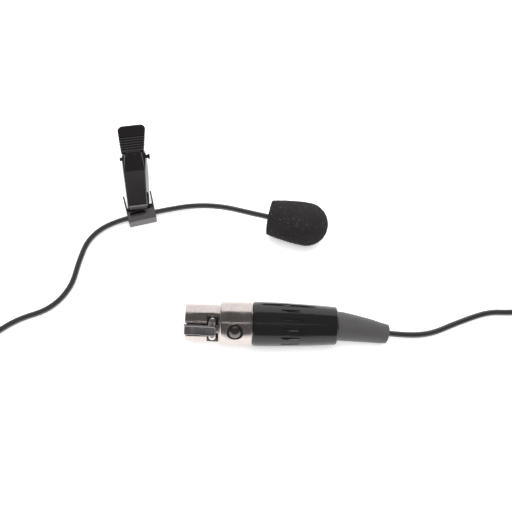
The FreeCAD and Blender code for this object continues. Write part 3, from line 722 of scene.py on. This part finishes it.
def tooth_rise(x):
    """Height of the notch between two jaw teeth above the jaw's edge at x."""
    for index in range(TOOTH_COUNT):
        gap = abs(x - TOOTH_START - index * TOOTH_PITCH)
        if gap < TOOTH_HALF:
            return TOOTH_DEPTH * (1 - gap / TOOTH_HALF)
    return 0.0


def channel_stations():
    """Places along the channel where its section is drawn, close together at creases and teeth."""
    stations = {0.0, CHANNEL_EDGE, SHOULDER_X - 0.3, SHOULDER_X, SHOULDER_X + 0.3}
    stations |= {WAIST_X + gap for gap in (-0.25, -0.08, 0.08, 0.25)}
    for index in range(TOOTH_COUNT):
        middle = TOOTH_START + index * TOOTH_PITCH
        stations |= {middle - TOOTH_HALF, middle, middle + TOOTH_HALF}
    stations |= {6.0 + i for i in range(6)} | {12.5 + i for i in range(4)}
    stations |= {17.6, CHANNEL_END}
    return sorted(stations)


def channel_skin(bm, local):
    """Hollow channel of the front lever, with rounded edges and a toothed jaw."""
    outer_rows, inner_rows = [], []
    for x in channel_stations():
        foot, low, side, side_z, ledge, ledge_z, top, high = blend_rows(CHANNEL_ROWS, x)
        lean = blend_rows(PLATE_LEAN, x)[0]
        low += tooth_rise(x)
        inset = CHANNEL_INSET * max(0.0, 1 - x / CHANNEL_EDGE)
        for rows, d, roof in ((outer_rows, inset, inset), (inner_rows, WALL, ROOF)):
            right = [(-foot + d, low), (-side + d, side_z - roof), (-ledge + d, ledge_z - roof),
                     (-top + d, high - roof)]
            left = [(top + lean - d, high - roof), (ledge + lean - d, ledge_z - roof),
                    (min(side + lean, foot) - d, side_z - roof), (foot - d, low)]
            chain = fillet(right + left, CHANNEL_CORNER_R)
            rows.append([bm.verts.new(local @ Vector((x * MM, p.x * MM, p.y * MM))) for p in chain])
    for rows in (outer_rows, inner_rows):
        for a, b in zip(rows, rows[1:]):
            for i in range(len(a) - 1):
                bm.faces.new((a[i], a[i + 1], b[i + 1], b[i]))
    for outer, inner in ((outer_rows[0], inner_rows[0]), (outer_rows[-1], inner_rows[-1])):
        for i in range(len(outer) - 1):
            bm.faces.new((outer[i], outer[i + 1], inner[i + 1], inner[i]))
    for foot in (0, -1):
        for k in range(len(outer_rows) - 1):
            bm.faces.new((outer_rows[k][foot], outer_rows[k + 1][foot],
                          inner_rows[k + 1][foot], inner_rows[k][foot]))


def soft_block(bm, local, low, high, radius):
    """Block with rounded edges between two corners, in mm of the local frame."""
    made = bmesh.ops.create_cube(bm, size=1.0)["verts"]
    low, high = Vector(low), Vector(high)
    for vert in made:
        vert.co = low + Vector([(vert.co[i] + 0.5) * (high[i] - low[i]) for i in range(3)])
    edges = list({e for v in made for e in v.link_edges})
    result = bmesh.ops.bevel(bm, geom=edges, offset=radius, segments=3, profile=0.5, affect="EDGES")
    for vert in {v for f in result["faces"] for v in f.verts}:
        vert.co = local @ (vert.co * MM)


PAD_START = 0.25
PAD_LENGTH = 8.25
PAD_T = 0.9
PAD_SLOPE = math.radians(16.0)
PAD_EDGE = 0.28
# half widths towards -Y and +Y, at the pin and at the far end
PAD_HALVES = {-1: (2.9, 4.2), 1: (3.35, 3.95)}
PAD_CORNER = 1.6
RIB_COUNT = 6
RIB_PITCH = 0.76
RIB_HEIGHT = 0.3
RIB_START = 0.5
RIB_END = RIB_START + (RIB_COUNT - 0.5) * RIB_PITCH
RIB_SHARPNESS = 1.6
RIB_REACH = 0.1
CREST_SHARE = 0.45


def pad_rib(u):
    """Share of full rib height at u, zero away from the ribs."""
    if not RIB_START - RIB_PITCH / 2 < u < RIB_END:
        return 0.0
    wave = 0.5 + 0.5 * math.cos(2 * math.pi * (u - RIB_START) / RIB_PITCH)
    return wave ** RIB_SHARPNESS


def pad_half_width(u, side):
    """Half width on one side at u, drawn in round the far corner."""
    near, far = PAD_HALVES[side]
    half = near + (far - near) * u / PAD_LENGTH
    rest = u - (PAD_LENGTH - PAD_CORNER)
    if rest > 0:
        half -= PAD_CORNER - math.sqrt(max(0.0, PAD_CORNER ** 2 - rest ** 2))
    return half


def pad_skin(bm, local):
    """Sloping thumb pad with a row of cross ribs that show as teeth along its sides."""
    slope = Matrix.Translation(Vector((PIN_X + PAD_START * MM, 0, SHOULDER_TOP * MM)))
    slope = local @ slope @ Matrix.Rotation(-PAD_SLOPE, 4, "Y")
    stations = [PAD_LENGTH * i / 130 for i in range(125)]
    stations += [PAD_LENGTH - PAD_EDGE * (1 - math.sin(math.radians(90 * i / 8))) for i in range(2, 9)]
    rows, crests = [], []
    for u in sorted(stations):
        rib = pad_rib(u)
        crests.append(rib)
        end = max(0.0, 1 - (PAD_LENGTH - u) / PAD_EDGE)
        drop = PAD_EDGE * (1 - math.sqrt(max(0.0, 1 - end ** 2)))
        top = (RIB_HEIGHT * (rib - 0.5) if u < RIB_END else 0.0) - drop
        low = -PAD_T + drop * 0.6
        loop = []
        for side in (1, -1):
            half = pad_half_width(min(u, PAD_LENGTH - 0.02), side) + RIB_REACH * rib
            corners = [(0.0, low), (half - 0.1, low), (half, low + 0.3), (half, top - 0.2),
                       (half - 0.25, top), (0.0, top)]
            edge_line = [Vector((side * p.x, p.y)) for p in fillet(corners, 0.09)]
            loop += edge_line if side == 1 else edge_line[::-1][1:-1]
        rows.append([bm.verts.new(slope @ Vector((u * MM, p.x * MM, p.y * MM))) for p in loop])
    for band, rib in zip(skin_capped(bm, rows), crests):
        for face in band:
            face.material_index = 1 if rib > CREST_SHARE else 0


def dome(bm, local, centre, radius, height):
    """Low round boss on a face, in mm of the local frame."""
    steps, segments = 6, 28
    rings = []
    for k in range(steps):
        a = math.pi / 2 * k / steps
        r, z = radius * math.cos(a), height * math.sin(a)
        ring = []
        for i in range(segments):
            b = 2 * math.pi * i / segments
            spot = Vector(centre) + Vector((r * math.cos(b), r * math.sin(b), z))
            ring.append(bm.verts.new(local @ (spot * MM)))
        rings.append(ring)
    tip = bm.verts.new(local @ ((Vector(centre) + Vector((0, 0, height))) * MM))
    skin_rings(bm, rings)
    for i in range(segments):
        bm.faces.new((rings[-1][i], rings[-1][(i + 1) % segments], tip))
    bm.faces.new(list(reversed(rings[0])))


EDGE_R = 0.08
LIP_LOW = (-0.32, -2.38, 0.95)
LIP_HIGH = (0.3, 2.38, 2.44)
BOSS_PLACE = (15.6, -0.35, 4.6)
BOSS_SINK = 0.02
BOSS_R = 0.5
BOSS_RISE = 0.14


def lip_piece(mat):
    """Flat lip across the jaw's tip, in a pale grey copy of the lever's plastic that is painted reflection of the
    floor.
    """
    bm = bmesh.new()
    soft_block(bm, CLIP, LIP_LOW, LIP_HIGH, EDGE_R)
    mesh = mesh_from(bm, "front_lever_lip")
    smooth(mesh, 42)
    return link("front_lever_lip", mesh, mat, "clip_lever")


def front_lever_piece(mat, crest_mat):
    """Jaw, bevelled waist and thumb pad in one moulding, paler along the rib crests."""
    bm = bmesh.new()
    channel_skin(bm, CLIP)
    pad_skin(bm, CLIP)
    slope = math.atan2(SHOULDER_TOP - WAIST_TOP, SHOULDER_X - WAIST_X)
    boss = CLIP @ Matrix.Translation(Vector(BOSS_PLACE) * MM) @ Matrix.Rotation(-slope, 4, "Y")
    dome(bm, boss, (0, 0, -BOSS_SINK), BOSS_R, BOSS_RISE)
    bmesh.ops.recalc_face_normals(bm, faces=bm.faces)
    mesh = mesh_from(bm, "front_lever_moulding")
    smooth(mesh, 42)
    piece = link("front_lever_moulding", mesh, mat, "clip_lever", ["front_lever"])
    piece.data.materials.append(crest_mat)
    weigh = piece.modifiers.new("normals", "WEIGHTED_NORMAL")
    weigh.keep_sharp = True
    apply_modifiers(piece)
    return piece


SPRING_R = 1.0
SPRING_WIRE_R = 0.2
SPRING_PITCH = 0.5
SPRING_TURNS = 4
SPRING_STEPS = 24
# body, slope in degrees, side of the pin, length and y of each leg, in mm
SPRING_LEGS = (("clip", -22.0, -1, 3.6, 1.0), ("clip_lever", 17.0, 1, 4.0, -1.0))


def wire_mesh(name, centres, radius):
    """Round wire through a chain of centres in mm of the clip's frame."""
    segments = 12
    turn = [2 * math.pi * i / segments for i in range(segments)]
    bm = bmesh.new()
    rings = []
    for k, centre in enumerate(centres):
        ahead = centres[min(k + 1, len(centres) - 1)] - centres[max(k - 1, 0)]
        along = ahead.normalized()
        across = along.cross(Vector((0, 1, 0)) if abs(along.y) < 0.9 else Vector((1, 0, 0))).normalized()
        up = across.cross(along)
        ring = [centre + (across * math.cos(a) + up * math.sin(a)) * radius for a in turn]
        rings.append([bm.verts.new(CLIP @ (spot * MM)) for spot in ring])
    skin_capped(bm, rings)
    bmesh.ops.recalc_face_normals(bm, faces=bm.faces)
    mesh = mesh_from(bm, name)
    smooth(mesh, 60)
    return mesh


def spring_pieces(mat):
    """Torsion spring: the coil and one leg stay with the rear lever, the other leg opens."""
    pin = Vector((PIN_X / MM, 0, PIN_Z / MM))
    half_width = SPRING_PITCH * SPRING_TURNS / 2
    coil = []
    for step in range(SPRING_TURNS * SPRING_STEPS + 1):
        a = math.pi / 2 + 2 * math.pi * step / SPRING_STEPS
        y = half_width - SPRING_PITCH * step / SPRING_STEPS
        coil.append(pin + Vector((SPRING_R * math.cos(a), y, SPRING_R * math.sin(a))))
    link("clip_spring_coil", wire_mesh("clip_spring_coil", coil, SPRING_WIRE_R), mat, "clip",
         ["clip_spring"])
    for body, slope, side, length, y in SPRING_LEGS:
        a = math.radians(slope)
        start = pin + Vector((-side * SPRING_R * math.sin(a), y, side * SPRING_R * math.cos(a)))
        along = Vector((math.cos(a), 0, math.sin(a)))
        centres = [start + along * length * i / 4 for i in range(5)]
        name = f"spring_leg_{body}"
        link(name, wire_mesh(name, centres, SPRING_WIRE_R), mat, body)


# reach from the rivet towards the bar, heights and half width, in mm
BAR_FRONT = 7.1
BAR_BACK = 3.75
BAR_SHOULDER_Z = 2.3
HOLDER_HALF_WIDTH = 3.8


def holder_piece(dark, grey, pale):
    """Cord holder in one dark plastic, with painted light: a greyer copy on the bar's top and ends and a paler
    copy on its front face.
    """
    piece = rounded("cable_holder", dark, "microphone", 0.08 * MM)
    piece.data.materials.append(grey)
    piece.data.materials.append(pale)
    rivet = Vector(joints["holder_swivel"]["pos_m"])
    back = Vector(mounts["holder_base"]["pos_m"]) - rivet
    out = Vector((back.x, back.y, 0)).normalized()
    for face in piece.data.polygons:
        offset = face.center - rivet
        reach = offset.dot(out) / MM
        aside = abs(offset.cross(out).z) / MM
        # painted light: faces chosen by where they sit and face get the greyer or paler copy of the dark plastic
        on_front = reach > BAR_FRONT - 0.6 and face.normal.dot(out) > 0.5
        on_top = reach > BAR_BACK - 0.05 and face.center.z > BAR_SHOULDER_Z * MM
        on_end = reach > BAR_BACK and aside > HOLDER_HALF_WIDTH - 0.2
        if on_front or on_top or on_end:
            face.material_index = 2 if on_front else 1
    return piece


# ---- plug ---------------------------------------------------------------------------------
LEAF_FRONT = 0.28
LEAF_END = 8.0
LEAF_TOP = 4.6
LEAF_T = 0.42
LEAF_CREASE = 4.75
LEAF_CREASE_DEPTH = 0.05
LEAF_CORNER = 0.6
LEAF_ROOT_HALF = 1.38
LEAF_TIP_HALF = 1.42
LEAF_LIFT = 0.12
LEAF_SHIFT = 0.12
LEAF_FOLD = 0.45
LEAF_FOLD_LENGTH = 0.55
LEAF_TIP_LENGTH = 0.2
LEAF_TIP_DROP = 0.15
LEAF_CORNER_R = 0.06
LEAF_ARM_HALF = 1.05
BUTTON_X = 12.7


def leaf_half_width(x):
    """Half width of the leaf at x, drawn in round its far corners."""
    half = LEAF_ROOT_HALF if x < LEAF_CREASE else LEAF_TIP_HALF
    rest = x - (LEAF_END - LEAF_CORNER)
    if rest > 0:
        half -= LEAF_CORNER - math.sqrt(max(0.0, LEAF_CORNER ** 2 - rest ** 2))
    return half


def latch_leaf_piece(mat):
    """Spring leaf: folded root, creased tongue with rolled edges, and the arm under the collar."""
    bm = bmesh.new()
    rows = []
    stations = [LEAF_FRONT + 0.16 * (1 - math.cos(math.radians(15 * i))) for i in range(1, 7)]
    stations += [LEAF_FRONT + 0.3 + 0.1 * i for i in range(75)]
    stations += [LEAF_END - 0.12 * (1 - i / 5) for i in range(1, 6)]
    for x in sorted(s for s in stations if s <= LEAF_END):
        crease = math.exp(-((x - LEAF_CREASE) / 0.16) ** 2)
        lift = LEAF_LIFT * max(0.0, (x - LEAF_CREASE) / (LEAF_END - LEAF_CREASE))
        front = max(0.0, 1 - (x - LEAF_FRONT) / LEAF_FOLD_LENGTH)
        back = max(0.0, 1 - (LEAF_END - x) / LEAF_TIP_LENGTH)
        drop = LEAF_FOLD * (1 - math.sqrt(max(0.0, 1 - front ** 2))) + LEAF_TIP_DROP * back ** 2
        half = leaf_half_width(min(x, LEAF_END - 0.01))
        top = LEAF_TOP + lift - drop - LEAF_CREASE_DEPTH * crease
        low = LEAF_TOP - LEAF_T + lift - drop * 0.3
        middle = -LEAF_SHIFT
        if x <= LEAF_CREASE:
            middle *= math.exp(-((x - LEAF_CREASE) / 0.25) ** 2)
        corners = [(0.0, low), (half - 0.05, low), (half, low + 0.12), (half, top - 0.14),
                   (half - 0.16, top), (half - 0.5, top - 0.05), (0.0, top - 0.07)]
        side = fillet(corners, LEAF_CORNER_R)
        loop = side + [Vector((-p.x, p.y)) for p in reversed(side[1:-1])]
        rows.append([bm.verts.new(PLUG @ Vector((x * MM, (p.x + middle) * MM, p.y * MM))) for p in loop])
    skin_capped(bm, rows)
    half = LEAF_ARM_HALF
    soft_block(bm, PLUG, (LEAF_FRONT + 0.02, -1.3, 3.5), (0.68, 1.3, 4.4), EDGE_R)
    soft_block(bm, PLUG, (6.7, -half, 3.4), (7.7, half, 4.35), EDGE_R)
    soft_block(bm, PLUG, (7.0, -half, 3.35), (BUTTON_X + 1.4, half, 3.75), EDGE_R)
    bmesh.ops.recalc_face_normals(bm, faces=bm.faces)
    mesh = mesh_from(bm, "latch_leaf_spring")
    smooth(mesh, 45)
    return link("latch_leaf_spring", mesh, mat, "latch", ["latch_leaf"])


CATCH_X = 7.2
CATCH_Z = 3.6
CATCH_R = 0.95
CATCH_RISE = 0.68
CATCH_ROOT_Y = 0.6
CATCH_END_Y = 2.95


def catches_piece(mat):
    """The two catches, one on each side of the tongue, in a brighter copy of the latch's nickel as a painted
    highlight.
    """
    bm = bmesh.new()
    for side in (-1, 1):
        barrel(bm, side)
    bmesh.ops.recalc_face_normals(bm, faces=bm.faces)
    mesh = mesh_from(bm, "latch_catches")
    smooth(mesh, 60)
    return link("latch_catches", mesh, mat, "latch")


def barrel(bm, side):
    """One rounded catch that stands out beside the tongue."""
    steps, segments = 16, 28
    rings = []
    for k in range(steps + 1):
        y = CATCH_ROOT_Y + (CATCH_END_Y - CATCH_ROOT_Y) * math.sin(math.pi / 2 * k / steps)
        past = max(0.0, (y - (CATCH_END_Y - CATCH_R)) / CATCH_R)
        share = max(0.03, math.sqrt(max(0.0, 1 - past ** 2)))
        ring = []
        for i in range(segments):
            a = 2 * math.pi * i / segments
            spot = Vector((CATCH_X + share * CATCH_R * math.cos(a), side * y,
                           CATCH_Z + share * CATCH_RISE * math.sin(a)))
            ring.append(bm.verts.new(PLUG @ (spot * MM)))
        rings.append(ring)
    skin_capped(bm, rings)


# (height, radius) of the button's foot, rim and groove, then its dome, in mm
BUTTON_RIM = ((3.76, 0.0), (3.76, 1.82), (4.85, 1.82), (4.98, 1.77), (5.04, 1.68), (5.02, 1.6), (5.06, 1.54))
BUTTON_DOME_Z = 5.06
BUTTON_DOME_R = 1.52
BUTTON_DOME_RISE = 1.02


def button_piece(mat):
    """Latch button: a rim, a groove and a high dome, turned about local +Z."""
    upright = PLUG @ Matrix.Translation((BUTTON_X * MM, 0, 0)) @ Matrix.Rotation(math.radians(-90), 4, "Y")
    outline = list(BUTTON_RIM)
    steps = 12
    for step in range(1, steps + 1):
        a = math.radians(90 * step / steps)
        r = BUTTON_DOME_R * math.cos(a) if step < steps else 0.0
        outline.append((BUTTON_DOME_Z + BUTTON_DOME_RISE * math.sin(a), r))
    mesh = lathe_mesh("latch_button_dome", [(z * MM, r * MM) for z, r in outline], upright, 56)
    smooth(mesh, 50)
    return link("latch_button_dome", mesh, mat, "latch", ["latch_button"])


# ---- paint the carried-over parts ---------------------------------------------------------
def paint(node, mat):
    """Gives a carried-over CAD part its finish."""
    mesh = nodes[node].data
    mesh.materials.clear()
    mesh.materials.append(mat)
    smooth(mesh, 30)


def black_rubber():
    return material("rubber_black", (0.03, 0.03, 0.03), rough=0.7, vary=0.2, grain=4000.0)


def blackened_steel():
    return material("blackened_steel", (0.06, 0.06, 0.063), rough=0.35, metal=1.0, vary=0.2, grain=2500.0,
                    bump=0.000006, wear=0.5)


def build_cord():
    """The cord and the tie round its coil."""
    jacket = material("cord_jacket", (0.026, 0.025, 0.0255), rough=0.34, specular=0.9, vary=0.12,
                      grain=3000.0, bump=0.000004, coat=0.15, coat_rough=0.3)
    return cord_piece(jacket), tie_piece(fabric_material())


def build_head(lead):
    """The capsule and its parts inside the foam windscreen."""
    foam_piece(foam_material())
    capsule_paint = material("capsule_paint", (0.03, 0.03, 0.032), rough=0.5, vary=0.2, bump=0.000004,
                             wear=0.4)
    for node in ("capsule_housing", "capsule_grille"):
        rounded(node, capsule_paint, "microphone", 0.05 * MM, 2)
    paint("grille_mesh", material("woven_steel", (0.35, 0.35, 0.36), rough=0.35, metal=1.0, vary=0.4,
                                  grain=6000.0, bump=0.00004))
    paint("dust_felt", material("felt", (0.05, 0.05, 0.05), rough=0.95, vary=0.4, grain=5000.0,
                                bump=0.00006))
    paint("electret_can", material("drawn_aluminium", (0.75, 0.75, 0.76), rough=0.28, metal=1.0,
                                   vary=0.06, bump=0.000003))
    paint("element_board", material("glass_fibre", (0.05, 0.16, 0.07), rough=0.5, vary=0.25,
                                    grain=4000.0))
    rubber = black_rubber()
    paint("capsule_gasket", rubber)
    rounded("rear_bush", rubber, "microphone", 0.05 * MM, 2)
    paint("capsule_leads", lead)


def build_clip():
    """Both levers with their spring and pin, and the holder with its rivet."""
    clip_black = material("clip_plastic", (0.0115, 0.0095, 0.010), rough=0.2, vary=0.06, grain=2600.0,
                          rough_vary=0.02, bump=0.000001)
    crests = material("rib_crests", (0.05, 0.045, 0.047), rough=0.4, vary=0.1, grain=2600.0)
    front_lever_piece(clip_black, crests)
    # the lip's pale grey is painted reflection on the lever's black plastic
    lip_piece(material("lip_painted_reflection", (0.17, 0.157, 0.162), rough=0.45, vary=0.08, grain=2600.0))
    rounded("rear_lever", clip_black, "clip", 0.08 * MM)
    dark_steel = blackened_steel()
    rounded("hinge_pin", dark_steel, "clip", 0.06 * MM)
    spring_pieces(material("spring_wire", (0.5, 0.5, 0.5), rough=0.25, metal=1.0, vary=0.08))
    dark = material("holder_dark", (0.018, 0.016, 0.0165), rough=0.3, vary=0.1, grain=2200.0,
                    bump=0.000003)
    # greyer and paler copies of the holder's dark plastic: painted light on the bar's top and ends, painted
    # reflection on its front face
    grey = material("holder_plastic", (0.058, 0.052, 0.054), rough=0.42, vary=0.12, grain=2200.0,
                    bump=0.000006)
    pale = material("holder_front_painted_light", (0.16, 0.15, 0.153), rough=0.4, vary=0.1, grain=2200.0,
                    bump=0.000006)
    holder_piece(dark, grey, pale)
    rounded("holder_rivet", dark_steel, "microphone", 0.05 * MM)


def build_plug(lead):
    """Shell, latch, handle sleeve, boot and what they hold."""
    drawn = (PLUG, (1.0, 0.12, 0.12))
    nickel = material("satin_nickel", (0.61, 0.545, 0.52), rough=0.2, metal=1.0, vary=0.14, grain=4200.0,
                      rough_vary=0.08, bump=0.000016, stretch=drawn)
    rounded("plug_shell", nickel, "microphone", 0.09 * MM)
    latch_leaf_piece(material("latch_nickel", (0.50, 0.47, 0.47), rough=0.22, metal=1.0, vary=0.12,
                              grain=4000.0, bump=0.000005))
    # the catches' brighter nickel is a painted highlight on the latch's metal
    catches_piece(material("catch_nickel_painted_highlight", (0.72, 0.67, 0.65), rough=0.25, metal=1.0, vary=0.06,
                           grain=4000.0, bump=0.000004))
    button_piece(material("dark_chrome", (0.19, 0.17, 0.17), rough=0.3, metal=1.0, vary=0.08))
    paint("plug_insert", material("insert_plastic", (0.03, 0.03, 0.03), rough=0.45, vary=0.15))
    gold = material("gold_plate", (0.83, 0.62, 0.28), rough=0.22, metal=1.0, vary=0.06)
    for index in (1, 2, 3):
        paint(f"contact_{index}", gold)
    sleeve_black = material("sleeve_plastic", (0.0125, 0.0118, 0.012), rough=0.14, vary=0.1,
                            grain=1500.0, rough_vary=0.04, bump=0.000002)
    rounded("plug_sleeve", sleeve_black, "microphone", 0.1 * MM)
    boot_grey = material("boot_rubber", (0.083, 0.079, 0.08), rough=0.55, vary=0.12, grain=3500.0,
                         bump=0.000008, sheen=0.1)
    rounded("plug_boot", boot_grey, "microphone", 0.35 * MM, 5)
    paint("cord_clamp", material("clamp_steel", (0.6, 0.6, 0.6), rough=0.3, metal=1.0, vary=0.08))
    paint("insulating_tube", material("clear_tube", (0.75, 0.73, 0.65), rough=0.35, vary=0.05))
    paint("plug_leads", lead)


def build():
    add_camera()
    add_lights()
    add_floor()
    cord, tie = build_cord()
    lead = material("wire_red", (0.45, 0.06, 0.05), rough=0.4, vary=0.1)
    build_head(lead)
    build_clip()
    build_plug(lead)


build()
